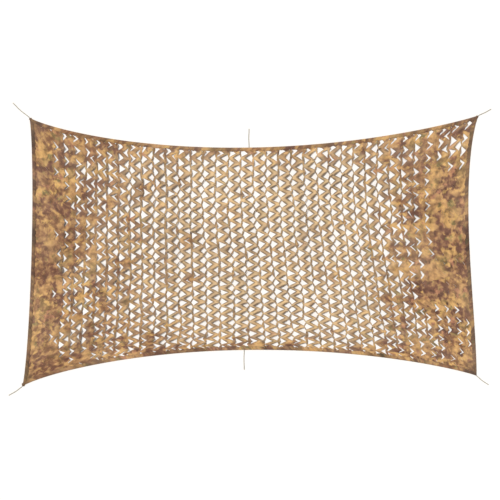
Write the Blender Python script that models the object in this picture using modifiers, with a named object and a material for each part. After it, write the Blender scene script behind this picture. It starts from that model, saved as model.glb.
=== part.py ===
"""Camouflage netting: one leaf-cut cloth with a rolled hem, drawn out by six short guy cords.

The net lies face up on a level surface, in metres. +X runs along its long side, +Y across it and +Z
up. The origin is under the middle of the cloth, on the surface. Left, right, top and bottom below
are those of the net seen from above, with +Y up the page.
"""
import math

import bmesh
import bpy
from mathutils import Vector

# ---- driving dimensions -------------------------------------------------------------------------
CORNERS = {
    "top_left": Vector((-1.528, 0.924)),
    "top_right": Vector((1.577, 0.937)),
    "bottom_left": Vector((-1.577, -0.937)),
    "bottom_right": Vector((1.560, -0.861)),
}
# each edge is drawn in towards the middle by its sag, which peaks where the two powers balance
EDGES = {
    "top": {"sag": 0.217, "power_at_left": 0.80, "power_at_right": 0.92},
    "bottom": {"sag": 0.218, "power_at_left": 0.78, "power_at_right": 0.88},
    "left": {"sag": 0.043, "power_at_bottom": 0.60, "power_at_top": 0.60},
    "right": {"sag": 0.068, "power_at_bottom": 1.60, "power_at_top": 0.75},
}
SHEET = 0.002            # the cloth's thickness
HEM_WIDTH = 0.026        # the hem rolled round the edge
HEM_HEIGHT = 0.008
HEM_STEP = 0.006         # from the hem's full height down to the sheet

# ---- the lattice of leaf cuts -------------------------------------------------------------------
COLUMNS = 37             # spines that the cut leaves hang from, one column apart
ROWS = 22                # leaves down each side of a spine
MIDDLE_STRETCH = 0.12    # columns stand this much wider than average at mid length
ROW_CROWDING = 1.16      # above 1, rows stand closer towards the bottom hem
LEAN = 0.05              # how far the columns lean to the right going down, as a share of the length
LEAN_POWER = 3           # the lean grows towards the right-hand end
GRID_PAST_SPINE = 0.25   # the sheet's cells end this many columns past each spine
GRID_PAST_LEAF = 0.5     # and this many rows past each leaf

# ---- the largest gaps ---------------------------------------------------------------------------
GAP_COLUMNS = range(5, 34, 2)
GAP_ROWS = range(3, 21)
GAP_RIM = 0.004          # cloth first left round a gap, before its corners go to their places
# a gap's corners from its place on the spine, in columns to the right and rows down
GAP_CORNERS = {
    "tip": (-0.54, 0.0),
    "lower": (-0.02, 0.35),
    "spine": (0.05, 0.0),
    "upper": (-0.02, -0.35),
}

# ---- folds that stand up off the surface --------------------------------------------------------
# each fold runs along the columns; at and half_width are in columns, first and last in rows
FOLDS = [
    {"at": 2.8, "half_width": 2.2, "height": 0.034, "first": 0.5, "last": 15.0, "lean": 0.8},
    {"at": 7.6, "half_width": 2.6, "height": 0.018, "first": 6.0, "last": 21.5, "lean": -1.8},
    {"at": 12.4, "half_width": 3.0, "height": 0.024, "first": 1.0, "last": 14.0, "lean": 0.8},
    {"at": 17.6, "half_width": 2.8, "height": 0.020, "first": 7.0, "last": 21.5, "lean": 1.6},
    {"at": 22.6, "half_width": 3.0, "height": 0.026, "first": 0.5, "last": 13.0, "lean": 0.4},
    {"at": 27.8, "half_width": 2.8, "height": 0.021, "first": 5.0, "last": 21.0, "lean": 2.2},
    {"at": 32.2, "half_width": 2.4, "height": 0.025, "first": 1.0, "last": 12.0, "lean": 1.0},
    {"at": 34.4, "half_width": 2.0, "height": 0.034, "first": 9.0, "last": 21.5, "lean": 0.8},
]
FLAT_MARGIN = 0.035      # the cloth beside the hem lies flat this far in, as a share of each way
RISE_MARGIN = 0.09       # and reaches its folds' full height this far in

# ---- guy cords ----------------------------------------------------------------------------------
CORD_DIAMETER = 0.006
CORD_GAP = 0.0003        # between a cord's end and the hem, and between a cord and the surface
CORD_POINT_SPACING = 0.015
# bearing is anticlockwise from +X, bow is how far the cord strays sideways at its middle
GUYS = {
    "cord_top_left": {"from": "top_left", "bearing": 138.8, "length": 0.147, "bow": 0.004},
    "cord_top_right": {"from": "top_right", "bearing": 26.6, "length": 0.093, "bow": -0.002},
    "cord_bottom_left": {"from": "bottom_left", "bearing": 213.2, "length": 0.107, "bow": 0.003},
    "cord_bottom_right": {"from": "bottom_right", "bearing": 323.1, "length": 0.103, "bow": -0.003},
    "cord_top_middle": {"from": "top", "bearing": 90.0, "length": 0.129, "bow": 0.002},
    "cord_bottom_middle": {"from": "bottom", "bearing": 270.0, "length": 0.136, "bow": -0.002},
}
MIDDLE_GUY_AT = 0.489    # where the middle cords leave the long hems, along the length


# ---- the outline --------------------------------------------------------------------------------
def sag_shape(t, start_power, end_power):
    """From 0 at both ends to 1 at the deepest place: t ** start * (1 - t) ** end, scaled."""
    deepest = start_power / (start_power + end_power)
    peak = deepest ** start_power * (1 - deepest) ** end_power
    return t ** start_power * (1 - t) ** end_power / peak


def long_edge(side, across):
    """A point on the top or bottom edge, across from 0 at the left to 1 at the right."""
    edge = EDGES[side]
    sag = edge["sag"] * sag_shape(across, edge["power_at_left"], edge["power_at_right"])
    straight = CORNERS[f"{side}_left"].lerp(CORNERS[f"{side}_right"], across)
    inward = -1 if side == "top" else 1
    return straight + Vector((0, inward * sag))


def short_edge(side, up):
    """A point on the left or right edge, up from 0 at the bottom to 1 at the top."""
    edge = EDGES[side]
    sag = edge["sag"] * sag_shape(up, edge["power_at_bottom"], edge["power_at_top"])
    straight = CORNERS[f"bottom_{side}"].lerp(CORNERS[f"top_{side}"], up)
    inward = 1 if side == "left" else -1
    return straight + Vector((inward * sag, 0))


def sheet_point(across, up):
    """A point of the cloth between its four edges, each edge's shape fading towards its opposite."""
    between_long = long_edge("bottom", across).lerp(long_edge("top", across), up)
    between_short = short_edge("left", up).lerp(short_edge("right", up), across)
    low = CORNERS["bottom_left"].lerp(CORNERS["bottom_right"], across)
    high = CORNERS["top_left"].lerp(CORNERS["top_right"], across)
    return between_long + between_short - low.lerp(high, up)


# ---- the lattice --------------------------------------------------------------------------------
def lattice_to_sheet(column, row):
    """Where a place of the lattice lies, as shares across and up the cloth."""
    along = column / COLUMNS
    across = along - MIDDLE_STRETCH / math.tau * math.sin(math.tau * along)
    up = max(1 - row / ROWS, 0.0) ** ROW_CROWDING
    most = LEAN_POWER / (LEAN_POWER + 1)
    lean = across ** LEAN_POWER * (1 - across) / (most ** LEAN_POWER * (1 - most))
    return across + LEAN * lean * (0.5 - up), up


def lattice_point(column, row):
    return sheet_point(*lattice_to_sheet(column, row))


def fold_height(column, row):
    """How high the cloth's underside stands: the tallest fold there, and 0 on the flats between."""
    across, up = lattice_to_sheet(column, row)
    height = 0.0
    for fold in FOLDS:
        middle = (fold["first"] + fold["last"]) / 2
        reach = (fold["last"] - fold["first"]) / 2
        down = (row - middle) / reach
        aside = (column - fold["at"] - fold["lean"] * down) / fold["half_width"]
        if abs(down) < 1 and abs(aside) < 1:
            ridge = math.cos(math.pi / 2 * aside) ** 2 * math.cos(math.pi / 2 * down)
            height = max(height, fold["height"] * ridge)
    inside = min(across, 1 - across, up, 1 - up)
    rise = min(max((inside - FLAT_MARGIN) / (RISE_MARGIN - FLAT_MARGIN), 0.0), 1.0)
    return height * rise


# ---- the sheet ----------------------------------------------------------------------------------
COLUMN_LINES = [n + GRID_PAST_SPINE for n in range(1, COLUMNS)]
ROW_LINES = [n + GRID_PAST_LEAF for n in range(1, ROWS - 1)]
BORDER_INSETS = [0.0, HEM_WIDTH, HEM_WIDTH + HEM_STEP]
BORDER = len(BORDER_INSETS)
FIRST_CELL = 2           # the spine and the row of the first cell inside the hem


def inset_share(first, last, inset):
    """The share of the way from one edge to its opposite that a distance from it covers."""
    return inset / (last - first).length


def border_place(i, lines):
    """(edge it follows, inset) of grid line i if it is one of the hem's, and else None."""
    count = len(lines) + 2 * BORDER
    if i < BORDER:
        return "start", BORDER_INSETS[i]
    if i >= count - BORDER:
        return "end", BORDER_INSETS[count - 1 - i]
    return None


def in_hem(i, lines):
    """Whether grid line i belongs to the thick part of a hem."""
    border = border_place(i, lines)
    return border is not None and border[1] <= HEM_WIDTH


def grid_place(i, j):
    """The cloth's shares across and up at grid line i from the left and j from the top."""
    column_border = border_place(i, COLUMN_LINES)
    row_border = border_place(j, ROW_LINES)
    column = COLUMNS / 2 if column_border else COLUMN_LINES[i - BORDER]
    row = ROWS / 2 if row_border else ROW_LINES[j - BORDER]
    across, up = lattice_to_sheet(column, row)
    if row_border:
        top = row_border[0] == "start"
        across, _ = lattice_to_sheet(column, 0 if top else ROWS)
    if column_border:
        edge, inset = column_border
        share = inset_share(short_edge("left", up), short_edge("right", up), inset)
        across = share if edge == "start" else 1 - share
    if row_border:
        edge, inset = row_border
        share = inset_share(long_edge("bottom", across), long_edge("top", across), inset)
        up = 1 - share if edge == "start" else share
    return across, up


def build_net(collection, material):
    """The cloth: a grid laid to the outline, cut through at its largest gaps and thickened up.

    The flat grid is 1 m square about the origin, so a vertex's place on it gives its line numbers.
    """
    across_count = len(COLUMN_LINES) + 2 * BORDER - 1
    down_count = len(ROW_LINES) + 2 * BORDER - 1
    bm = bmesh.new()
    bmesh.ops.create_grid(bm, x_segments=across_count, y_segments=down_count, size=0.5)
    hem_verts = set()
    places = {}
    for vert in bm.verts:
        i = round((vert.co.x + 0.5) * across_count)
        j = round((0.5 - vert.co.y) * down_count)
        places[vert] = (i, j)
    for vert, (i, j) in places.items():
        across, up = grid_place(i, j)
        at = sheet_point(across, up)
        border = border_place(i, COLUMN_LINES) or border_place(j, ROW_LINES)
        height = 0.0 if border else fold_height(COLUMN_LINES[i - BORDER], ROW_LINES[j - BORDER])
        vert.co = (at.x, at.y, height)
        if in_hem(i, COLUMN_LINES) or in_hem(j, ROW_LINES):
            hem_verts.add(vert)

    gaps = {}
    for face in bm.faces:
        left = min(places[vert][0] for vert in face.verts)
        top = min(places[vert][1] for vert in face.verts)
        spine = left - BORDER + FIRST_CELL
        row = top - BORDER + FIRST_CELL
        staggered = (row + GAP_COLUMNS.index(spine)) % 2 if spine in GAP_COLUMNS else 0
        if staggered and row in GAP_ROWS:
            gaps[face] = (spine, row)
    cut_gaps(bm, gaps, places)

    bmesh.ops.triangulate(bm, faces=bm.faces[:])
    bmesh.ops.recalc_face_normals(bm, faces=bm.faces[:])
    if sum(face.normal.z for face in bm.faces) < 0:
        bmesh.ops.reverse_faces(bm, faces=bm.faces[:])
    bm.verts.index_update()
    hem_indices = [vert.index for vert in hem_verts]
    mesh = bpy.data.meshes.new("net_panel")
    bm.to_mesh(mesh)
    bm.free()

    net = bpy.data.objects.new("net_panel", mesh)
    collection.objects.link(net)
    net.data.materials.append(material)
    hem = net.vertex_groups.new(name="hem")
    hem.add(hem_indices, 1.0, "REPLACE")
    thicken = net.modifiers.new("thickness", "SOLIDIFY")
    thicken.thickness = HEM_HEIGHT
    thicken.offset = 1.0
    thicken.vertex_group = "hem"
    thicken.thickness_vertex_group = SHEET / HEM_HEIGHT
    return net


def cut_gaps(bm, gaps, places):
    """Insets each chosen cell, moves the inset corners to the gap's outline and removes the inside."""
    corner_order = [("left", "lower", "tip"), ("right", "lower", "lower"),
                    ("right", "upper", "spine"), ("left", "upper", "upper")]
    bmesh.ops.inset_individual(bm, faces=list(gaps), thickness=GAP_RIM, use_even_offset=False)
    for face, (spine, row) in gaps.items():
        middle = face.calc_center_median()
        for vert in face.verts:
            side = "left" if vert.co.x < middle.x else "right"
            level = "lower" if vert.co.y < middle.y else "upper"
            corner = next(name for s, l, name in corner_order if (s, l) == (side, level))
            aside, down = GAP_CORNERS[corner]
            at = lattice_point(spine + aside, row + down)
            vert.co = (at.x, at.y, fold_height(spine + aside, row + down))
    bmesh.ops.delete(bm, geom=list(gaps), context="FACES")


# ---- the guy cords ------------------------------------------------------------------------------
def hem_exit(place):
    """Where a cord leaves the hem: a corner's tip, or the middle of a long edge."""
    if place in CORNERS:
        return CORNERS[place]
    return long_edge(place, MIDDLE_GUY_AT)


def cord_route(guy):
    """Points from the hem to the free end, along one shallow bow that lies on the surface."""
    angle = math.radians(guy["bearing"])
    ahead = Vector((math.cos(angle), math.sin(angle)))
    aside = Vector((-ahead.y, ahead.x))
    start = hem_exit(guy["from"]) + CORD_GAP * ahead
    steps = max(round(guy["length"] / CORD_POINT_SPACING), 6)
    height = CORD_DIAMETER / 2 + CORD_GAP
    route = []
    for n in range(steps + 1):
        t = n / steps
        at = start + guy["length"] * t * ahead + guy["bow"] * math.sin(math.pi * t) ** 2 * aside
        route.append((at.x, at.y, height))
    return route


def build_cord(name, guy, collection, material):
    route = cord_route(guy)
    curve = bpy.data.curves.new(name, "CURVE")
    curve.dimensions = "3D"
    curve.bevel_depth = CORD_DIAMETER / 2
    curve.bevel_resolution = 2
    curve.use_fill_caps = True
    spline = curve.splines.new("POLY")
    spline.points.add(len(route) - 1)
    for point, at in zip(spline.points, route):
        point.co = (*at, 1.0)
    cord = bpy.data.objects.new(name, curve)
    collection.objects.link(cord)
    curve.materials.append(material)
    return cord


def plain_material(name, colour, roughness):
    material = bpy.data.materials.new(name)
    material.use_nodes = True
    shader = material.node_tree.nodes["Principled BSDF"]
    shader.inputs["Base Color"].default_value = (*colour, 1.0)
    shader.inputs["Roughness"].default_value = roughness
    shader.inputs["Metallic"].default_value = 0.0
    return material


def main():
    for old in list(bpy.data.objects):
        bpy.data.objects.remove(old, do_unlink=True)
    collection = bpy.data.collections.new("camouflage_netting")
    bpy.context.scene.collection.children.link(collection)
    build_net(collection, plain_material("net_cloth", (0.53, 0.37, 0.19), 0.85))
    for name, guy in GUYS.items():
        build_cord(name, guy, collection, plain_material(name, (0.62, 0.56, 0.45), 0.8))


main()
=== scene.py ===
# %% [markdown]
# # Camouflage netting, laid out face up
#
# The real thing is one oblong of printed polyester cloth. Columns of leaf-shaped flaps are cut in it,
# and its edge is rolled over and sewn. Pulled lengthways, the cloth between the columns turns up on
# edge and the flaps swing out of it, so that it opens into a net. Six short guy cords pull it out.
#
# Everything here follows one lattice: spines stand a column apart, and each has leaves cut to its left
# and right in turn, half a row apart. The same lattice places the solids, so both models agree.

# %%
import math

import bpy
import numpy as np
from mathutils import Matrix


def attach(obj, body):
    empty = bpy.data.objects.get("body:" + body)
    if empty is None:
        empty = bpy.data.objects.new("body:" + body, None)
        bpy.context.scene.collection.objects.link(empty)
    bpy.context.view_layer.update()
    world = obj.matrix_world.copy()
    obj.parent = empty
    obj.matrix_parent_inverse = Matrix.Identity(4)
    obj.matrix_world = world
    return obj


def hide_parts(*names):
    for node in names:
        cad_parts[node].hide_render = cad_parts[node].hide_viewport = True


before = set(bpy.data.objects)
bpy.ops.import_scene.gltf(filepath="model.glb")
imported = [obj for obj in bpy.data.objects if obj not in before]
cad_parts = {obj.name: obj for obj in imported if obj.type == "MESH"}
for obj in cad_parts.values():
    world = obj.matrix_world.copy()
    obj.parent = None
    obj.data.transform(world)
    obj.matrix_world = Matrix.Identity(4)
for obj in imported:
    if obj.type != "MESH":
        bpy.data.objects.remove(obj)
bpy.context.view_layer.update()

# %% [markdown]
# ## The outline and the lattice
#
# The corners pull the cloth out into points and the edges between them are drawn in. Each edge is a
# straight line less a sag, whose deepest place is set by two powers. A point inside the cloth blends
# its four edges. Lengths are in metres.

# %%
CORNERS = {
    "top_left": np.array((-1.528, 0.924)),
    "top_right": np.array((1.577, 0.937)),
    "bottom_left": np.array((-1.577, -0.937)),
    "bottom_right": np.array((1.560, -0.861)),
}
EDGES = {
    "top": {"sag": 0.217, "power_at_left": 0.80, "power_at_right": 0.92},
    "bottom": {"sag": 0.218, "power_at_left": 0.78, "power_at_right": 0.88},
    "left": {"sag": 0.043, "power_at_bottom": 0.60, "power_at_top": 0.60},
    "right": {"sag": 0.068, "power_at_bottom": 1.60, "power_at_top": 0.75},
}
COLUMNS = 37
ROWS = 22
MIDDLE_STRETCH = 0.12
ROW_CROWDING = 1.16
LEAN = 0.05
LEAN_POWER = 3


def lerp(a, b, t):
    return a * (1 - t) + b * t


def sag_shape(t, start_power, end_power):
    """From 0 at both ends to 1 at the deepest place."""
    deepest = start_power / (start_power + end_power)
    peak = deepest ** start_power * (1 - deepest) ** end_power
    t = np.clip(t, 0.0, 1.0)
    return t ** start_power * (1 - t) ** end_power / peak


def long_edge(side, across):
    """Points on the top or bottom edge, across from 0 at the left to 1 at the right."""
    edge = EDGES[side]
    sag = edge["sag"] * sag_shape(across, edge["power_at_left"], edge["power_at_right"])
    inward = -1 if side == "top" else 1
    straight = lerp(CORNERS[f"{side}_left"], CORNERS[f"{side}_right"], across[..., None])
    return straight + np.stack((0 * sag, inward * sag), -1)


def short_edge(side, up):
    """Points on the left or right edge, up from 0 at the bottom to 1 at the top."""
    edge = EDGES[side]
    sag = edge["sag"] * sag_shape(up, edge["power_at_bottom"], edge["power_at_top"])
    inward = 1 if side == "left" else -1
    straight = lerp(CORNERS[f"bottom_{side}"], CORNERS[f"top_{side}"], up[..., None])
    return straight + np.stack((inward * sag, 0 * sag), -1)


def sheet_point(across, up):
    """Points of the cloth from their shares of the way across and up it."""
    between_long = lerp(long_edge("bottom", across), long_edge("top", across), up[..., None])
    between_short = lerp(short_edge("left", up), short_edge("right", up), across[..., None])
    low = lerp(CORNERS["bottom_left"], CORNERS["bottom_right"], across[..., None])
    high = lerp(CORNERS["top_left"], CORNERS["top_right"], across[..., None])
    return between_long + between_short - lerp(low, high, up[..., None])


def lattice_to_sheet(column, row):
    along = column / COLUMNS
    across = along - MIDDLE_STRETCH / math.tau * np.sin(math.tau * along)
    up = np.maximum(1 - row / ROWS, 0.0) ** ROW_CROWDING
    most = LEAN_POWER / (LEAN_POWER + 1)
    lean = across ** LEAN_POWER * (1 - across) / (most ** LEAN_POWER * (1 - most))
    return across + LEAN * lean * (0.5 - up), up


def lattice_point(column, row):
    return sheet_point(*lattice_to_sheet(column, row))


middle = lattice_point(np.array([18.0, 19.0]), np.array([11.0, 11.0]))
print("a column at the middle is", round(float(np.linalg.norm(middle[1] - middle[0])), 4), "m wide")

# %% [markdown]
# ## Camera
#
# The net lies on its back, so the camera hangs straight above its middle with a long lens, which
# keeps the outline free of perspective.

# %%
PICTURE_WIDTH = 3.45     # of the surface, that the picture takes in
LENS = 85.0
SENSOR = 36.0

camera_data = bpy.data.cameras.new("camera")
camera_data.lens = LENS
camera_data.sensor_width = SENSOR
camera = bpy.data.objects.new("camera", camera_data)
camera.location = (-0.003, 0.007, PICTURE_WIDTH * LENS / SENSOR)
bpy.context.scene.collection.objects.link(camera)
bpy.context.scene.camera = camera
print("the camera is", round(camera.location.z, 2), "m up")

# %% [markdown]
# ## Shader values
#
# A shader value is wrapped so that plain arithmetic on it adds the math nodes. Colours and vectors go
# through Mix and Vector Math, and one method adds any other kind of node.


# %%
class Value:
    """A node's output, in one material's node tree."""

    def __init__(self, tree, socket):
        self.tree = tree
        self.socket = socket

    def node(self, kind, sockets, settings=None, output=0):
        """Adds a node of that kind, with these settings and socket values, and returns one output."""
        made = self.tree.nodes.new(kind)
        for name, value in (settings or {}).items():
            setattr(made, name, value)
        for name, value in sockets.items():
            if isinstance(value, Value):
                self.tree.links.new(value.socket, made.inputs[name])
            else:
                made.inputs[name].default_value = value
        return Value(self.tree, made.outputs[output])

    def math(self, operation, *terms, clamp=False):
        sockets = dict(enumerate(terms))
        return self.node("ShaderNodeMath", sockets, {"operation": operation, "use_clamp": clamp})

    def vector_math(self, operation, *terms):
        return self.node("ShaderNodeVectorMath", dict(enumerate(terms)), {"operation": operation})

    def __add__(self, other):
        return self.math("ADD", self, other)

    def __sub__(self, other):
        return self.math("SUBTRACT", self, other)

    def __mul__(self, other):
        return self.math("MULTIPLY", self, other)

    def __truediv__(self, other):
        return self.math("DIVIDE", self, other)

    def __pow__(self, other):
        return self.math("POWER", self, other)

    def __radd__(self, other):
        return self.math("ADD", other, self)

    def __rsub__(self, other):
        return self.math("SUBTRACT", other, self)

    def __rmul__(self, other):
        return self.math("MULTIPLY", other, self)

    def __rtruediv__(self, other):
        return self.math("DIVIDE", other, self)

    def above(self, level, softness):
        """0 below the level and 1 above it, with an edge of that softness."""
        return self.math("DIVIDE", self - level, softness, clamp=True)

    def mixed(self, share, other):
        """This colour, with a share of another laid over it."""
        sockets = {0: share, 6: self, 7: other}
        return self.node("ShaderNodeMix", sockets, {"data_type": "RGBA"}, output=2)

    def noise(self, scale, detail=2.0, roughness=0.5, shift=(0.0, 0.0, 0.0)):
        """Noise over this vector, moved by shift so that two layers differ."""
        sockets = {"Vector": self.vector_math("ADD", self, shift), "Scale": scale,
                   "Detail": detail, "Roughness": roughness}
        return self.node("ShaderNodeTexNoise", sockets)


def paint(red, green, blue):
    """A display colour, 0 to 255 each, as the linear colour that a shader takes."""
    shares = [c / 255 for c in (red, green, blue)]
    linear = [c / 12.92 if c <= 0.04045 else ((c + 0.055) / 1.055) ** 2.4 for c in shares]
    return (*linear, 1.0)


def new_material(name):
    """A material with its Principled shader and a value to start building from."""
    material = bpy.data.materials.new(name)
    material.use_nodes = True
    tree = material.node_tree
    shader = tree.nodes["Principled BSDF"]
    return material, shader, Value(tree, None)


def plug(value, shader, name):
    value.tree.links.new(value.socket, shader.inputs[name])


print("shader values are ready")

# %% [markdown]
# ## Printed cloth
#
# The cloth is thin plain-weave polyester, printed with blotches before it is cut, so the print is laid
# out in the flat cloth's own coordinates and runs on from ribbon to leaf. Each blotch layer is a noise
# cut off at a level, over the layers before it. After the print come painted shade over wide areas,
# deeper to the left, painted shade in the small creases with painted highlight on their tops, and a
# paler colour where the cloth is pulled out thin. The cuts' edges are scorched by the hot knife, with
# painted shade along them where the net is open, and the open strands get painted shade too. Shares
# say how much of each colour is laid on.

# %%
SAND = paint(192, 148, 98)
PRINT = [
    {"colour": paint(146, 104, 70), "scale": 5.5, "level": 0.48, "soft": 0.03, "shift": (2.1, 5.2, 0.0)},
    {"colour": paint(160, 128, 80), "scale": 7.0, "level": 0.54, "soft": 0.06, "shift": (3.1, 7.7, 0.0)},
    {"colour": paint(206, 162, 100), "scale": 10.0, "level": 0.55, "soft": 0.03, "shift": (9.4, 1.3, 0.0)},
    {"colour": paint(124, 84, 66), "scale": 7.0, "level": 0.53, "soft": 0.03, "shift": (5.5, 2.9, 0.0)},
    {"colour": paint(112, 74, 58), "scale": 9.0, "level": 0.57, "soft": 0.05, "shift": (1.7, 4.4, 0.0)},
    {"colour": paint(212, 170, 102), "scale": 18.0, "level": 0.60, "soft": 0.05, "shift": (6.3, 3.8, 0.0)},
    {"colour": paint(180, 126, 94), "scale": 15.0, "level": 0.60, "soft": 0.05, "shift": (0.9, 9.1, 0.0)},
    {"colour": paint(134, 118, 72), "scale": 14.0, "level": 0.61, "soft": 0.05, "shift": (7.5, 0.6, 0.0)},
    {"colour": paint(88, 58, 42), "scale": 22.0, "level": 0.64, "soft": 0.05, "shift": (8.2, 6.6, 0.0)},
]
CREASE_SHADE = paint(58, 34, 18)      # painted shade in the small creases
SHADED = paint(122, 76, 46)      # painted shade over wide patches
CREASE_HIGHLIGHT = paint(242, 196, 126)    # painted highlight on the tops of the creases
PULLED = paint(242, 214, 168)    # cloth that is stretched out
SCORCH_SOIL_AND_SHADE = paint(52, 34, 24)     # scorch along the cuts, soil at the corners and hem, painted shade on open cuts and strands
FADED = paint(224, 196, 158)
SHADED_SHARE = 0.46
SHADED_LESS = 0.14       # of that share, lost with each metre to the right
CREASE_SHADE_SHARE = 0.52
CREASE_HIGHLIGHT_SHARE = 0.44
PULLED_SHARE = 0.60
SCORCH_SOIL_AND_SHADE_SHARE = 0.85
FADED_SHARE = 0.14
WEAVE_SCALE = 180.0
CREASE_SCALE = 26.0
BEND_SCALE = 14.0
BEND = (0.04, 0.03)      # how far the blotches' outlines are pushed about, in metres


def printed_cloth():
    material, shader, start = new_material("net_cloth")
    flat = start.node("ShaderNodeUVMap", {}, {"uv_map": "flat"})
    wobble = flat.noise(BEND_SCALE, detail=3.0, shift=(0.5, 0.2, 0.0))
    bend = wobble.node("ShaderNodeCombineXYZ", {0: (wobble - 0.5) * BEND[0], 1: (0.5 - wobble) * BEND[1]})
    flat_bent = flat.vector_math("ADD", flat, bend)
    colour = SAND
    for layer in PRINT:
        noise = flat_bent.noise(layer["scale"], detail=3.0, roughness=0.55, shift=layer["shift"])
        share = noise.above(layer["level"], layer["soft"])
        colour = flat.node("ShaderNodeMix", {0: share, 6: colour, 7: layer["colour"]},
                           {"data_type": "RGBA"}, output=2)
    edge = flat.node("ShaderNodeAttribute", {}, {"attribute_name": "scorch_soil_and_shade"}, output=2)
    pull = flat.node("ShaderNodeAttribute", {}, {"attribute_name": "pull"}, output=2)
    creases = flat_bent.noise(CREASE_SCALE, detail=3.0, roughness=0.55, shift=(4.0, 8.0, 0.0))
    wide_shade = flat.noise(2.4, detail=2.0, shift=(7.0, 1.0, 0.0)).above(0.44, 0.16)
    along = flat.node("ShaderNodeSeparateXYZ", {0: flat})
    # painted shade over wide patches, deeper to the left
    colour = colour.mixed(wide_shade * (SHADED_SHARE - along * SHADED_LESS), SHADED)
    # painted shade in the creases
    colour = colour.mixed(creases.above(0.48, 0.18) * CREASE_SHADE_SHARE, CREASE_SHADE)
    # painted highlight on the crease tops
    colour = colour.mixed((1 - creases).above(0.50, 0.18) * CREASE_HIGHLIGHT_SHARE, CREASE_HIGHLIGHT)
    colour = colour.mixed(pull * pull * PULLED_SHARE, PULLED)
    # scorch along the cuts, soil at the corners and hem, and painted shade on open cut edges and strands
    colour = colour.mixed(edge.above(0.10, 0.8) * SCORCH_SOIL_AND_SHADE_SHARE, SCORCH_SOIL_AND_SHADE)
    fade = flat.noise(3.0, detail=2.0).above(0.4, 0.3)
    colour = colour.mixed(fade * FADED_SHARE, FADED)
    plug(colour, shader, "Base Color")
    threads = {"Vector": flat, "Scale": WEAVE_SCALE}
    weave_x = flat.node("ShaderNodeTexWave", threads, {"bands_direction": "X"}, 1)
    weave_y = flat.node("ShaderNodeTexWave", threads, {"bands_direction": "Y"}, 1)
    cloth_height = (weave_x + weave_y) * 0.15 - creases * 3.0
    bump = cloth_height.node("ShaderNodeBump", {"Height": cloth_height, "Strength": 0.6, "Distance": 0.003})
    plug(bump, shader, "Normal")
    plug(0.9 - flat.noise(30.0) * 0.25, shader, "Roughness")
    shader.inputs["Sheen Weight"].default_value = 0.25
    shader.inputs["Sheen Roughness"].default_value = 0.5
    return material


net_cloth = printed_cloth()
print("printed cloth has", len(PRINT), "blotch layers")

# %% [markdown]
# ## Guy cords
#
# Each is a short end of laid cord, three strands twisted, that comes out of the rolled hem and lies
# straight on the surface with its cut end free. A cord's section is a three-lobed ring that turns as it
# goes along, which is what three strands laid together look like.

# %%
CORD_DIAMETER = 0.006
CORD_GAP = 0.0003
CORD_TWIST = 0.020       # the length in which a strand goes once round
CORD_AROUND = 18
CORD_RING_STEP = 0.0015
LOBE = 0.13              # how deep the grooves between the strands are, as a share of the radius
MIDDLE_GUY_AT = 0.489
GUYS = {
    "cord_top_left": {"from": "top_left", "bearing": 138.8, "length": 0.147, "bow": 0.004},
    "cord_top_right": {"from": "top_right", "bearing": 26.6, "length": 0.093, "bow": -0.002},
    "cord_bottom_left": {"from": "bottom_left", "bearing": 213.2, "length": 0.107, "bow": 0.003},
    "cord_bottom_right": {"from": "bottom_right", "bearing": 323.1, "length": 0.103, "bow": -0.003},
    "cord_top_middle": {"from": "top", "bearing": 90.0, "length": 0.129, "bow": 0.002},
    "cord_bottom_middle": {"from": "bottom", "bearing": 270.0, "length": 0.136, "bow": -0.002},
}


def cord_cloth():
    material, shader, start = new_material("guy_cord")
    where = start.node("ShaderNodeTexCoord", {}, output=3)
    grime = where.noise(90.0, detail=3.0)
    colour = start.node("ShaderNodeMix", {0: grime, 6: paint(136, 134, 120), 7: paint(184, 180, 166)},
                        {"data_type": "RGBA"}, output=2)
    plug(colour, shader, "Base Color")
    fibre = where.noise(900.0, detail=2.0)
    bump = fibre.node("ShaderNodeBump", {"Height": fibre, "Strength": 0.4, "Distance": 0.0005})
    plug(bump, shader, "Normal")
    plug(0.75 + grime * 0.15, shader, "Roughness")
    shader.inputs["Sheen Weight"].default_value = 0.2
    return material


def new_piece(name, points, faces, material):
    """A smooth mesh object from an array of points and a list of faces."""
    mesh = bpy.data.meshes.new(name)
    mesh.from_pydata(points.tolist(), [], faces)
    mesh.materials.append(material)
    mesh.polygons.foreach_set("use_smooth", np.full(len(mesh.polygons), True))
    piece = bpy.data.objects.new(name, mesh)
    bpy.context.scene.collection.objects.link(piece)
    return piece


def cord_route(guy):
    """The centreline from the hem to the free end, and the cord's start on the hem."""
    angle = math.radians(guy["bearing"])
    ahead = np.array((math.cos(angle), math.sin(angle)))
    aside = np.array((-ahead[1], ahead[0]))
    if guy["from"] in CORNERS:
        hem = CORNERS[guy["from"]]
    else:
        hem = long_edge(guy["from"], np.array(MIDDLE_GUY_AT))
    t = np.linspace(0, 1, round(guy["length"] / CORD_RING_STEP) + 1)[:, None]
    bow = guy["bow"] * np.sin(math.pi * t) ** 2 * aside
    flat = hem + ahead * (CORD_GAP + guy["length"] * t) + bow
    return np.column_stack((flat, np.full(len(flat), CORD_DIAMETER / 2 + CORD_GAP)))


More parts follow.
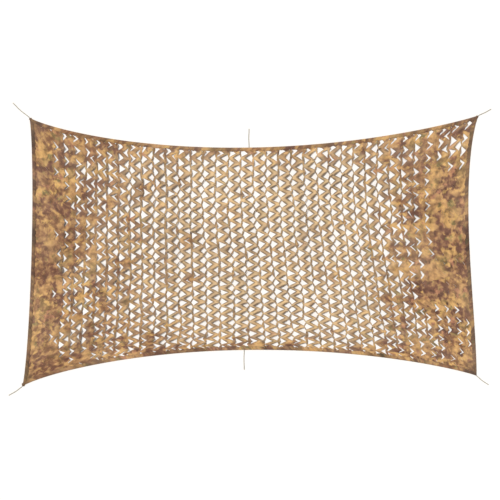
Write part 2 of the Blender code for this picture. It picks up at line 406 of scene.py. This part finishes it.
def build_cord(node, guy, material):
    route = cord_route(guy)
    count = len(route)
    ahead = np.gradient(route, axis=0)
    ahead /= np.linalg.norm(ahead, axis=1)[:, None]
    aside = np.column_stack((-ahead[:, 1], ahead[:, 0], np.zeros(count)))
    turn = np.linspace(0, math.tau, CORD_AROUND, endpoint=False)[None, :]
    twist = math.tau * np.arange(count)[:, None] * CORD_RING_STEP / CORD_TWIST
    radius = CORD_DIAMETER / 2 * (1 - LOBE + LOBE * np.cos(3 * (turn - twist)))
    sideways = np.cos(turn)[..., None] * aside[:, None]
    upright = np.sin(turn)[..., None] * np.array((0, 0, 1))
    ring = radius[..., None] * (sideways + upright)
    points = (route[:, None] + ring).reshape(-1, 3)
    around = np.arange(CORD_AROUND)
    after = (around + 1) % CORD_AROUND
    rings = np.arange(count - 1)[:, None] * CORD_AROUND
    here = (rings + around).ravel()
    beside = (rings + after).ravel()
    sides = np.column_stack((here, beside, beside + CORD_AROUND, here + CORD_AROUND))
    first = len(points)
    last = first + 1
    points = np.vstack((points, route[0], route[-1]))
    start_cap = np.column_stack((after, around, np.full(CORD_AROUND, first)))
    rim = (count - 1) * CORD_AROUND
    end_cap = np.column_stack((rim + around, rim + after, np.full(CORD_AROUND, last)))
    faces = sides.tolist() + start_cap.tolist() + end_cap.tolist()
    piece = new_piece("laid_" + node, points, faces, material)
    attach(piece, "root")
    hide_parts(node)
    return piece


cord_material = cord_cloth()
cords = [build_cord(node, guy, cord_material) for node, guy in GUYS.items()]
print("cords:", len(cords))

# %% [markdown]
# ## How open the net is
#
# Where the guys pull hardest, along the middle, every leaf has swung out of its hole. Towards the short
# ends the pull is shared by more cloth: first the leaves on a spine's left shut, so that the right ones
# show as a row of chevrons, and then those shut too. The profile gives the openness across the net, a
# few patches are more open or more shut than that, and the rows along the long hems open less.

# %%
SEED = 11
OPEN_ACROSS = {
    "across": [0.00, 0.04, 0.07, 0.14, 0.20, 0.30, 0.40, 0.70, 0.80, 0.88, 0.92, 1.00],
    "open": [0.00, 0.00, 0.20, 0.36, 0.60, 0.80, 1.00, 1.00, 0.76, 0.36, 0.06, 0.00],
}
OPEN_PATCHES = [
    {"across": 0.96, "up": 0.93, "wide": 0.05, "tall": 0.10, "more": 0.9},
    {"across": 0.93, "up": 0.15, "wide": 0.05, "tall": 0.14, "more": 0.45},
    {"across": 0.10, "up": 0.18, "wide": 0.045, "tall": 0.14, "more": 0.30},
    {"across": 0.09, "up": 0.90, "wide": 0.05, "tall": 0.10, "more": 0.22},
    {"across": 0.88, "up": 0.32, "wide": 0.07, "tall": 0.20, "more": -0.22},
    {"across": 0.95, "up": 0.50, "wide": 0.03, "tall": 0.25, "more": -0.20},
    {"across": 0.50, "up": 0.00, "wide": 0.70, "tall": 0.13, "more": -0.30},
    {"across": 0.50, "up": 1.00, "wide": 0.70, "tall": 0.10, "more": -0.15},
]
SHUT_ROWS = 1.6          # beside the long hems the rows open less, over about this many
SHUT_SHARE = 0.35
LEFT_SHUT = 0.30         # the leaves on a spine's left stay shut until the right ones are this open
LEFT_OPEN = 0.70
LEAF_SHUT = 0.08         # a leaf that is less open than this doesn't open at all
HALVES = 2 * ROWS        # leaves stand half a row apart, to the right and the left in turn
STEPS = 6                # places of a spine in each half row
PLACES = HALVES * STEPS + 1
rng = np.random.default_rng(SEED)


UNEVEN = 0.15            # how much one leaf differs from the next
UNEVEN_AREAS = 0.10      # and one area from another


def blurred(shape, times):
    """Random numbers that vary smoothly over a table, with a spread of 1."""
    table = rng.normal(size=shape)
    for _ in range(times):
        padded = np.pad(table, 1, mode="edge")
        table = (padded[:-2, 1:-1] + padded[2:, 1:-1] + padded[1:-1, :-2] + padded[1:-1, 2:]) / 4
    return (table - table.mean()) / table.std()


def openness():
    """How open the hole at each spine and half row is, from 0 to 1."""
    spine, half = np.meshgrid(np.arange(COLUMNS + 1.0), np.arange(HALVES + 1.0), indexing="ij")
    across, up = lattice_to_sheet(spine, half / 2)
    opened = np.interp(across, OPEN_ACROSS["across"], OPEN_ACROSS["open"])
    for patch in OPEN_PATCHES:
        away = ((across - patch["across"]) / patch["wide"]) ** 2 + ((up - patch["up"]) / patch["tall"]) ** 2
        opened = opened + patch["more"] * np.exp(-away)
    from_hem = np.minimum(half, HALVES - half) / 2
    opened = opened * (1 - SHUT_SHARE * np.exp(-(from_hem / SHUT_ROWS) ** 2))
    uneven = UNEVEN * rng.normal(size=spine.shape) * np.clip(opened * 4, 0.15, 1)
    opened = opened * (1 + UNEVEN_AREAS * blurred(spine.shape, 2)) + uneven
    opened = np.clip(opened, 0.0, 1.0)
    opened[:, ::2] *= np.clip((opened[:, ::2] - LEFT_SHUT) / (LEFT_OPEN - LEFT_SHUT), 0, 1)
    opened[opened < LEAF_SHUT] = 0
    opened[[0, -1], :] = 0
    opened[:, [0, -1]] = 0
    return opened


opened = openness()
print("mean openness", round(float(opened.mean()), 2))

# %% [markdown]
# ## Spines and holes on the lattice
#
# A hole's base lies along its spine and its tip points at the next one. Each half row of a spine gets
# six places: from one hole's middle, past where the other side's hole starts and this one ends, to that
# other hole's middle. A ribbon's edge keeps to the spine where it is joined and runs along the holes'
# slanting sides elsewhere, so joined places have the same coordinates and weld.

# %%
STRAND = {"shut": 0.10, "open": 0.06}      # a spine's width, in columns
HOLE_DEPTH = {"shut": 0.48, "open": 0.62}  # from spine to tip, in columns
HOLE_HALF = {"shut": 0.42, "open": 0.385}  # half a hole's height along its spine, in rows
ZIGZAG = 0.09                              # how far an open hole pushes its spine aside, in columns
WANDER = 0.07                              # how far a spine strays from straight, in columns
DEPTH_VARIES = 0.035
HALF_VARIES = 0.025
HALF_LEAST, HALF_MOST = 0.29, 0.43
TIP_VARIES = 0.06                          # how far a tip is off its hole's middle, in rows


def between(ends, share):
    return lerp(ends["shut"], ends["open"], share)


spine_count = COLUMNS + 1
hole_depth = between(HOLE_DEPTH, opened) + DEPTH_VARIES * rng.normal(size=opened.shape)
hole_half = between(HOLE_HALF, opened) + HALF_VARIES * rng.normal(size=opened.shape)
hole_half = np.clip(hole_half, HALF_LEAST, HALF_MOST)
tip_drop = TIP_VARIES * rng.normal(size=opened.shape)
odd = np.arange(HALVES) % 2 == 1


def spine_places():
    """For each spine and place: its row, and how far along each side's hole edge it is, 0 to 1."""
    starts = 0.5 - hole_half[:, 1:]
    ends = hole_half[:, :-1]
    zero = np.zeros_like(starts)
    down = np.stack((zero, starts / 2, starts, (starts + ends) / 2, ends, (ends + 0.5) / 2), -1)
    leaving = np.clip(1 - down / ends[..., None], 0, 1)
    coming = np.clip((down - starts[..., None]) / (0.5 - starts[..., None]), 0, 1)
    rows = np.arange(HALVES)[None, :, None] / 2 + down
    right = np.where(odd[None, :, None], leaving, coming)
    left = np.where(odd[None, :, None], coming, leaving)

    def flat(table, last):
        return np.column_stack((table.reshape(spine_count, -1), np.full(spine_count, last)))

    return flat(rows, float(ROWS)), flat(left, 1.0), flat(right, 0.0)


def by_place(table, parity):
    """A table over half rows, read at each place from the hole of that parity that the place is on."""
    halves = np.minimum(np.arange(PLACES) // STEPS, HALVES - 1)
    hole = np.where(halves % 2 == parity, halves, halves + 1)
    return table[:, hole]


def smooth_by_place(table):
    """A table over half rows, read between them at each place."""
    at = np.arange(PLACES) / STEPS
    low = np.minimum(at.astype(int), HALVES - 1)
    return lerp(table[:, low], table[:, low + 1], (at - low)[None, :])


place_row, left_arm, right_arm = spine_places()
place_open = smooth_by_place(opened)
has_holes = np.ones((spine_count, 1))
has_holes[[0, -1]] = 0
left_arm = left_arm * has_holes
right_arm = right_arm * has_holes
left_depth = left_arm * by_place(hole_depth, 0)
right_depth = right_arm * by_place(hole_depth, 1)
left_drop = left_arm * by_place(tip_drop, 0)
right_drop = right_arm * by_place(tip_drop, 1)
strand = between(STRAND, place_open) / 2 * has_holes
swing = ZIGZAG * place_open * np.cos(math.pi * 2 * place_row) * has_holes
wander = WANDER * smooth_by_place(blurred(opened.shape, 3)) * has_holes
spine_column = np.arange(spine_count)[:, None] + swing + wander
print("places on each spine:", PLACES)

# %% [markdown]
# ## Heights
#
# The cloth lies on the surface, raised in the same long folds as the solids, and crumples where it is
# slack. Where the net is open, each ribbon is turned up towards its right edge and down towards its
# left one, so a spine drops steeply from one ribbon to the next and looks like a dark seam from above.

# %%
FOLDS = [
    {"at": 2.8, "half_width": 2.2, "height": 0.034, "first": 0.5, "last": 15.0, "lean": 0.8},
    {"at": 7.6, "half_width": 2.6, "height": 0.018, "first": 6.0, "last": 21.5, "lean": -1.8},
    {"at": 12.4, "half_width": 3.0, "height": 0.024, "first": 1.0, "last": 14.0, "lean": 0.8},
    {"at": 17.6, "half_width": 2.8, "height": 0.020, "first": 7.0, "last": 21.5, "lean": 1.6},
    {"at": 22.6, "half_width": 3.0, "height": 0.026, "first": 0.5, "last": 13.0, "lean": 0.4},
    {"at": 27.8, "half_width": 2.8, "height": 0.021, "first": 5.0, "last": 21.0, "lean": 2.2},
    {"at": 32.2, "half_width": 2.4, "height": 0.025, "first": 1.0, "last": 12.0, "lean": 1.0},
    {"at": 34.4, "half_width": 2.0, "height": 0.034, "first": 9.0, "last": 21.5, "lean": 0.8},
]
FLAT_MARGIN = 0.035
RISE_MARGIN = 0.09
FOLD_SHARE = 0.42        # of the solids' folds, as the turned-up ribbons take the rest of the height
GROUND = 0.003
LIFT = 0.011             # the middle of an open ribbon, over the ground
TILT = 0.011             # an open ribbon's edges, over and under its middle
TILT_LEAST, TILT_MOST = 0.1, 1.4
CREASES = {"shut": 0.016, "open": 0.003}   # how high the cloth crumples
FREE_AFTER = 1.5         # columns or rows in from the hem, where the cloth is free to rise
LOWEST = 0.0006
HIGHEST = 0.0368


def fold_height(column, row):
    across, up = lattice_to_sheet(column, row)
    height = np.zeros(np.broadcast(column, row).shape)
    for fold in FOLDS:
        reach = (fold["last"] - fold["first"]) / 2
        down = (row - (fold["last"] + fold["first"]) / 2) / reach
        aside = (column - fold["at"] - fold["lean"] * down) / fold["half_width"]
        ridge = np.cos(math.pi / 2 * np.clip(aside, -1, 1)) ** 2 * np.cos(math.pi / 2 * np.clip(down, -1, 1))
        height = np.maximum(height, fold["height"] * ridge)
    inside = np.minimum(np.minimum(across, 1 - across), np.minimum(up, 1 - up))
    return height * np.clip((inside - FLAT_MARGIN) / (RISE_MARGIN - FLAT_MARGIN), 0, 1)


WAVES = rng.uniform((0.0, 14.0, 0.0), (math.tau, 95.0, math.tau), size=(26, 3))
WAVES_REACH = 5.5        # about the most that they add up to


def crumple(x, y):
    """Creases from many crossed waves, about -1 to 1, the long ones stronger."""
    total = np.zeros(np.broadcast(x, y).shape)
    for heading, pace, phase in WAVES:
        along = x * math.cos(heading) + y * math.sin(heading)
        bent = 1.5 * np.sin(9 * (x - y) + heading)
        total = total + np.sin(pace * along + phase + bent) * (30 / pace) ** 0.7
    return total / WAVES_REACH


def rest_height(column, row, open_here):
    """The cloth's middle height at a place of the lattice."""
    xy = lattice_point(column, row)
    across, up = lattice_to_sheet(column, row)
    inside = np.minimum(np.minimum(across, 1 - across) * COLUMNS, np.minimum(up, 1 - up) * ROWS)
    free = np.clip(inside / FREE_AFTER, 0, 1)
    creases = np.abs(crumple(xy[..., 0], xy[..., 1])) * between(CREASES, open_here)
    return GROUND + (LIFT * open_here + creases + FOLD_SHARE * fold_height(column, row)) * free


def placed(column, row, height):
    return np.concatenate((lattice_point(column, row), np.clip(height, LOWEST, HIGHEST)[..., None]), -1)


turn_strength = 0.85 + 0.3 * blurred(opened.shape, 2)
turn_strength = smooth_by_place(np.clip(turn_strength, TILT_LEAST, TILT_MOST))
tilt = TILT * turn_strength * place_open * has_holes
print("tallest fold of the cloth:", round(FOLD_SHARE * max(f["height"] for f in FOLDS), 4), "m")

# %% [markdown]
# ## Ribbons, strands and leaves
#
# A ribbon is a sheet between the left edge at one spine and the right edge at the next. A strand is the
# narrow strip between them. A leaf is a triangle whose base is on a strand. Shut, it fills its hole,
# half open it lies in it with a slit round it, and open it has swung up or down on its base and curled.
# Points are gathered with their place on the flat cloth, how much scorch and painted shade they carry at
# cuts and strands, and how far the cloth there is pulled, then welded.

# %%
RIBBON_ACROSS = 4
LEAF_STEPS = 4
SLIT = 0.20              # the gap at a leaf's tip, in columns
SLIT_SIDE = 0.38         # how much narrower than its hole a leaf is cut
SLIT_OPENS = 0.10        # below this openness the slits close up
LEAF_LYING = 0.20        # below this one a leaf starts to settle back into its hole
LEAN_OPEN = (80, 105)    # degrees that a leaf leans up or down when its hole is fully open
LEAN_ANYWAY = (0, 14)
LEAN_MOST = 100
HALF_OPEN = 0.3          # above this openness a leaf leans at least so much
HALF_OPEN_LEAN = 35
CURL = (-10, 35)         # degrees that a leaf bends from base to tip
CURL_TO_FIT = 150        # and that it bends more, where it has no room to stand
FLIPPED = 0.12           # the share of leaves that swing the other way
STRAND_DARK = 0.80       # painted shade on an open strand, as a share of the dark edge colour
STRAND_DARK_VARIES = 0.35
COLUMN_LENGTH = 0.0735   # of the flat cloth
ROW_LENGTH = 0.0735

gathered_points = []
gathered_flat = []
gathered_edge = []
gathered_pull = []
gathered_faces = []
gathered_count = 0


def gather(points, flat, edge, pull, faces):
    """Adds a block of points and their faces, which count from the block's own first point."""
    global gathered_count
    gathered_points.append(points.reshape(-1, 3))
    gathered_flat.append(flat.reshape(-1, 2))
    gathered_edge.append(edge.reshape(-1))
    gathered_pull.append(np.broadcast_to(pull, points.shape[:-1]).reshape(-1))
    gathered_faces.append(faces + gathered_count)
    gathered_count += gathered_points[-1].shape[0]


def grid_faces(blocks, across, down):
    """Quads of a stack of grids, each with that many points across and down."""
    block, i, j = np.meshgrid(np.arange(blocks), np.arange(across - 1), np.arange(down - 1), indexing="ij")
    first = (block * across + i) * down + j
    return np.stack((first, first + 1, first + down + 1, first + down), -1).reshape(-1, 4)


def flat_place(column, row):
    return np.stack((column * COLUMN_LENGTH, (ROWS - row) * ROW_LENGTH), -1)


def gather_ribbons():
    share = np.linspace(0, 1, RIBBON_ACROSS + 1)[None, :, None]
    left_column = (spine_column + strand + right_depth)[:-1, None, :]
    right_column = (spine_column - strand - left_depth)[1:, None, :]
    left_row = (place_row + right_drop)[:-1, None, :]
    right_row = (place_row + left_drop)[1:, None, :]
    column = lerp(left_column, right_column, share)
    row = np.clip(lerp(left_row, right_row, share), 0, ROWS)
    open_here = lerp(place_open[:-1, None, :], place_open[1:, None, :], share)
    tilt_here = lerp(tilt[:-1, None, :], tilt[1:, None, :], share) * (2 * share - 1)
    points = placed(column, row, rest_height(column, row, open_here) + tilt_here)
    cut_left = np.clip(right_arm[:-1, None, :] * 4, 0, 1) * (1 - share)
    cut_right = np.clip(left_arm[1:, None, :] * 4, 0, 1) * share
    # scorch with painted shade along the cuts, only where the net is open
    edge = np.clip(np.maximum(cut_left, cut_right) * 2 - 1, 0, 1) * open_here
    gather(points, flat_place(column, row), edge, open_here, grid_faces(COLUMNS, RIBBON_ACROSS + 1, PLACES))


def strand_side(side):
    """Columns, rows, heights and points along the left or right side (-1 or 1) of every spine."""
    column = spine_column + side * strand
    row = np.clip(place_row, 0, ROWS)
    height = rest_height(column, row, place_open) - side * tilt
    return column, row, placed(column, row, height)


def gather_strands():
    sides = [strand_side(-1), strand_side(1)]
    points = np.stack([side[2] for side in sides], 1)[1:-1]
    flat = np.stack([flat_place(side[0], side[1]) for side in sides], 1)[1:-1]
    # painted shade on open strands, deepest between the holes
    strand_shade = np.clip(STRAND_DARK + STRAND_DARK_VARIES * smooth_by_place(blurred(opened.shape, 1)), 0, 1)
    joined = 1 - np.clip((left_arm + right_arm) * 1.5, 0, 1)
    strand_shade = strand_shade * np.clip(place_open * 3, 0, 1) * (0.55 + 0.45 * joined)
    edge = np.repeat(strand_shade[1:-1, None, :], 2, axis=1)
    pull = np.repeat(place_open[1:-1, None, :], 2, axis=1)
    gather(points, flat, edge, pull, grid_faces(COLUMNS - 1, 2, PLACES))


def leaf_bends(opening, room_up, room_down, length, rises):
    """How far ahead and up each step of a leaf is, from its base to its tip."""
    lean = opening * rng.uniform(*LEAN_OPEN, opening.shape) + rng.uniform(*LEAN_ANYWAY, opening.shape)
    lean = np.clip(lean, 0, LEAN_MOST)
    lean = np.where(opening < HALF_OPEN, lean, np.maximum(lean, HALF_OPEN_LEAN))
    curl = rng.uniform(*CURL, opening.shape)
    room = np.where(rises, room_up, room_down)
    spare = np.clip((length * np.sin(np.radians(np.minimum(lean, 90))) - room) / length, 0, 1)
    curl = curl + spare * CURL_TO_FIT
    ahead = [np.zeros_like(length)]
    upward = [np.zeros_like(length)]
    for step in range(LEAF_STEPS):
        along = (step + 0.5) / LEAF_STEPS
        angle = np.radians(lean * min(1.0, 0.55 + 1.2 * along) + curl * along)
        ahead.append(ahead[-1] + np.cos(angle) * length / LEAF_STEPS)
        upward.append(upward[-1] + np.sin(angle) * length / LEAF_STEPS)
    return np.stack(ahead, -1), np.stack(upward, -1) * np.where(rises, 1, -1)[..., None]


def gather_leaves(side):
    """The leaves on one side of every spine, -1 for the left and 1 for the right."""
    column, row, base_points = strand_side(side)
    halves = np.arange(2 if side < 0 else 1, HALVES, 2)
    base = halves[:, None] * STEPS + np.arange(2 - STEPS, STEPS - 1)[None, :]
    inner = slice(1, -1)
    base_at = base_points[inner][:, base]
    base_flat = flat_place(column, row)[inner][:, base]
    hinge = base_at.shape[2] // 2
    opening = opened[inner][:, halves]
    gap = np.clip(opening / SLIT_OPENS, 0, 1)
    tip_column = column[inner][:, halves * STEPS] + side * (hole_depth[inner][:, halves] - SLIT * gap)
    tip_row = row[inner][:, halves * STEPS] + tip_drop[inner][:, halves]
    tip_flat = flat_place(tip_column, tip_row)
    tip_ground = lattice_point(tip_column, tip_row)
    reach = tip_ground - base_at[:, :, hinge, :2]
    length = np.linalg.norm(reach, axis=-1)
    forward = np.concatenate((reach / length[..., None], np.zeros((*length.shape, 1))), -1)
    flips = rng.random(opening.shape) < FLIPPED
    rises = np.where(flips, side < 0, side > 0)
    height = base_at[:, :, hinge, 2]
    ahead, upward = leaf_bends(opening, HIGHEST - height, height - LOWEST, length, rises)
    down = np.linspace(0, 1, LEAF_STEPS + 1)
    narrowed = 1 - SLIT_SIDE * gap[:, :, None] * (down > 0)
    spread = ((1 - down) * narrowed)[..., None, None]
    middle = base_at[:, :, None, hinge:hinge + 1, :]
    points = middle + spread * (base_at[:, :, None] - middle)
    points = points + ahead[..., None, None] * forward[:, :, None, None, :]
    points[..., 2] += upward[..., None]
    points[..., 2] = np.clip(points[..., 2], LOWEST, HIGHEST)
    share = down[None, None, :, None]
    lying_column = lerp(column[inner][:, base][:, :, None], tip_column[..., None, None], share)
    lying_row = lerp(row[inner][:, base][:, :, None], tip_row[..., None, None], share)
    lying_height = rest_height(lying_column, lying_row, opening[:, :, None, None])
    shut = np.clip((LEAF_LYING - opening) / (LEAF_LYING - LEAF_SHUT), 0, 1)[:, :, None, None, None]
    points = lerp(points, placed(lying_column, lying_row, lying_height), shut)
    points[:, :, 0] = base_at
    share = share[..., None]
    flat = base_flat[:, :, None] * (1 - share) + tip_flat[:, :, None, None, :] * share
    # scorch with painted shade along a leaf's sides and tip, deeper the more it is open
    side_edge = np.abs(np.linspace(-1, 1, base_at.shape[2]))[None, :] ** 3 * (down[:, None] > 0)
    pull = np.broadcast_to(opening[:, :, None, None], points.shape[:-1])
    edge = np.maximum(side_edge, down[:, None] ** 4) * pull
    faces = grid_faces(points.shape[0] * points.shape[1], LEAF_STEPS + 1, base_at.shape[2])
    gather(points, flat, edge, pull, faces[:, ::side])  # a left leaf's faces turn over, to face up


gather_ribbons()
gather_strands()
gather_leaves(-1)
gather_leaves(1)
print("points before welding:", gathered_count)

# %% [markdown]
# ## Welding into one cloth
#
# Points with the same coordinates become one, and a quad that lost a corner at a leaf's tip becomes a
# triangle. The flat coordinates go into a UV map for the print, and two attributes carry the scorch and
# painted shade of cuts and strands, and the pull. The corners are handled most, so the same dark colour
# darkens them.


# %%
CORNER_SOIL = 0.75       # of the scorched colour, right at a corner
CORNER_SOIL_REACH = 0.11


def weld():
    points = np.concatenate(gathered_points)
    key = np.round(points * 1e6).astype(np.int64)
    _, first, index = np.unique(key, axis=0, return_index=True, return_inverse=True)
    quads = index.reshape(-1)[np.concatenate(gathered_faces)]
    faces = []
    for quad in quads.tolist():
        corners = list(dict.fromkeys(quad))
        if len(corners) > 2:
            faces.append(corners)
    tables = [np.concatenate(table)[first] for table in (gathered_flat, gathered_edge, gathered_pull)]
    return points[first], tables, faces


def dress(piece, flat, edge, pull):
    """Stores on the mesh its place on the flat cloth, its scorch, soil and painted shade, and how hard it is
    pulled.
    """
    mesh = piece.data
    at = np.array([vertex.co[:2] for vertex in mesh.vertices])
    from_corner = np.min([np.linalg.norm(at - corner, axis=1) for corner in CORNERS.values()], axis=0)
    edge = np.maximum(edge, CORNER_SOIL * np.exp(-(from_corner / CORNER_SOIL_REACH) ** 2))
    corner_vertex = np.empty(len(mesh.loops), dtype=np.int32)
    mesh.loops.foreach_get("vertex_index", corner_vertex)
    layer = mesh.uv_layers.new(name="flat")
    layer.data.foreach_set("uv", flat[corner_vertex].ravel())
    for name, values in (("scorch_soil_and_shade", edge), ("pull", pull)):
        attribute = mesh.attributes.new(name, "FLOAT", "POINT")
        attribute.data.foreach_set("value", values)


points, tables, faces = weld()
net = new_piece("net", points, faces, net_cloth)
dress(net, *tables)
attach(net, "root")
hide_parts("net_panel")
print("the net has", len(faces), "faces and", sum(len(f) - 2 for f in faces), "triangles")

# %% [markdown]
# ## The rolled hem
#
# The edge is turned over a border rope and sewn down, and bunches along it where the guys have drawn it
# in. It is a soft, flattened tube swept round the outline, thinner where the cloth runs out at the
# corners, with gathers across it. Along the short ends, which drag on the ground, it is dirtier.

# %%
HEM_WIDTH = 0.026
HEM_HEIGHT = 0.009
HEM_AROUND = 14
HEM_STEP = 0.007
CORNER_REACH = 0.10      # the hem thins out over this length before each corner
CORNER_SHARE = 0.45
EDGE_POINTS = 600        # on each edge, before they are evened out
SHORT_HEM_SOIL = 0.62    # of the scorched colour
LONG_HEM_SOIL = 0.32
HEM_SOIL_VARIES = 0.30
HEM_GATHERS = [
    {"length": 0.021, "phase": 0.3, "size": 0.05},
    {"length": 0.034, "phase": 1.9, "size": 0.07},
    {"length": 0.057, "phase": 4.0, "size": 0.08},
    {"length": 0.131, "phase": 2.2, "size": 0.07},
]


def hem_path():
    """Points round the outline, clockwise from the top left, and their places on the flat cloth."""
    t = np.linspace(0, 1, EDGE_POINTS, endpoint=False)
    eased = t - 0.10 / math.tau * np.sin(math.tau * 2 * t)
    runs = [
        (long_edge("top", eased), (eased * COLUMNS, 0 * eased)),
        (short_edge("right", 1 - eased), (0 * eased + COLUMNS, eased * ROWS)),
        (long_edge("bottom", 1 - eased), ((1 - eased) * COLUMNS, 0 * eased + ROWS)),
        (short_edge("left", eased), (0 * eased, (1 - eased) * ROWS)),
    ]
    route = np.concatenate([run[0] for run in runs])
    flat = np.concatenate([flat_place(*run[1]) for run in runs])
    steps = np.linalg.norm(np.diff(np.vstack((route, route[:1])), axis=0), axis=1)
    travelled = np.concatenate(((0,), np.cumsum(steps)))
    corners = travelled[:-1:EDGE_POINTS]
    count = round(travelled[-1] / HEM_STEP)
    at = np.linspace(0, travelled[-1], count, endpoint=False)
    closed_route = np.vstack((route, route[:1]))
    closed_flat = np.vstack((flat, flat[:1]))
    even = np.column_stack([np.interp(at, travelled, closed_route[:, n]) for n in range(2)])
    even_flat = np.column_stack([np.interp(at, travelled, closed_flat[:, n]) for n in range(2)])
    half = travelled[-1] / 2
    away = np.min([np.abs((at - corner + half) % travelled[-1] - half) for corner in corners], axis=0)
    return even, even_flat, at, away


def build_hem(material):
    route, flat, at, away = hem_path()
    count = len(route)
    ahead = np.roll(route, -2, axis=0) - np.roll(route, 2, axis=0)
    ahead /= np.linalg.norm(ahead, axis=1)[:, None]
    inward = np.column_stack((ahead[:, 1], -ahead[:, 0]))
    full = lerp(CORNER_SHARE, 1.0, np.clip(away / CORNER_REACH, 0, 1) ** 0.7)
    gathers = sum(np.sin(math.tau * at / g["length"] + g["phase"]) * g["size"] for g in HEM_GATHERS)
    half_wide = HEM_WIDTH / 2 * full * (1 + gathers)
    half_high = HEM_HEIGHT / 2 * lerp(0.75, 1.0, full) * (1 + 0.6 * np.roll(gathers, 5))
    turn = np.linspace(0, math.tau, HEM_AROUND, endpoint=False)[None, :]
    twist = 0.16 * np.sin(math.tau * at / 0.047 + 2 * np.sin(at * 9))[:, None]
    ripple = 1 + 0.10 * np.sin(3 * turn + math.tau * at[:, None] / 0.039) * np.sin(turn) ** 2
    aside = -np.cos(turn + twist) * half_wide[:, None] * ripple
    upward = np.sin(turn) * half_high[:, None] * ripple
    centre = route + inward * half_wide[:, None]
    points = np.concatenate((
        centre[:, None, :] + aside[..., None] * inward[:, None, :],
        (half_high[:, None] + LOWEST + upward)[..., None]), -1)
    points[..., 2] = np.maximum(points[..., 2], LOWEST)
    wrap = turn / math.tau * 1.4 * HEM_WIDTH
    inward_flat = np.broadcast_to(wrap[..., None], (count, HEM_AROUND, 2))
    flats = (flat[:, None, :] + inward_flat).reshape(-1, 2)
    ring = np.arange(HEM_AROUND)
    after = (ring + 1) % HEM_AROUND
    here = np.arange(count)[:, None] * HEM_AROUND
    there = ((np.arange(count) + 1) % count)[:, None] * HEM_AROUND
    faces = np.stack((here + ring, here + after, there + after, there + ring), -1).reshape(-1, 4)
    hem = new_piece("hem", points.reshape(-1, 3), faces.tolist(), material)
    on_short_edge = (flat[:, 0] < COLUMN_LENGTH) | (flat[:, 0] > (COLUMNS - 1) * COLUMN_LENGTH)
    patchy = HEM_SOIL_VARIES * np.sin(at / 0.19) * np.sin(at / 0.071 + 1)
    soiled = np.clip(np.where(on_short_edge, SHORT_HEM_SOIL, LONG_HEM_SOIL) + patchy, 0, 1)
    dress(hem, flats, np.repeat(soiled, HEM_AROUND), np.zeros(len(flats)))
    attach(hem, "root")
    return hem


hem = build_hem(net_cloth)

# %% [markdown]
# ## Floor and light
#
# A wide pale floor fills the picture. The light is a soft studio one, nearly overhead, so that the
# floor shows bright through every hole, and the light from all round is a little warm.

# %%
floor_mesh = bpy.data.meshes.new("floor")
floor_mesh.from_pydata([(-12, -12, 0), (12, -12, 0), (12, 12, 0), (-12, 12, 0)], [], [(0, 1, 2, 3)])
floor = bpy.data.objects.new("floor", floor_mesh)
bpy.context.scene.collection.objects.link(floor)
floor_material, floor_shader, _ = new_material("floor")
floor_shader.inputs["Base Color"].default_value = (0.93, 0.92, 0.90, 1.0)
floor_shader.inputs["Roughness"].default_value = 0.9
floor_mesh.materials.append(floor_material)

sun_data = bpy.data.lights.new("overhead", "SUN")
sun_data.energy = 2.6
sun_data.angle = math.radians(14)
sun = bpy.data.objects.new("overhead", sun_data)
sun.rotation_euler = (math.radians(-12), math.radians(-14), 0)
bpy.context.scene.collection.objects.link(sun)

world = bpy.data.worlds.new("studio")
world.use_nodes = True
background = world.node_tree.nodes["Background"]
background.inputs["Color"].default_value = (1.0, 0.92, 0.87, 1.0)
background.inputs["Strength"].default_value = 0.40
bpy.context.scene.world = world
bpy.context.scene.view_settings.view_transform = "Standard"
print("floor and light are in place")
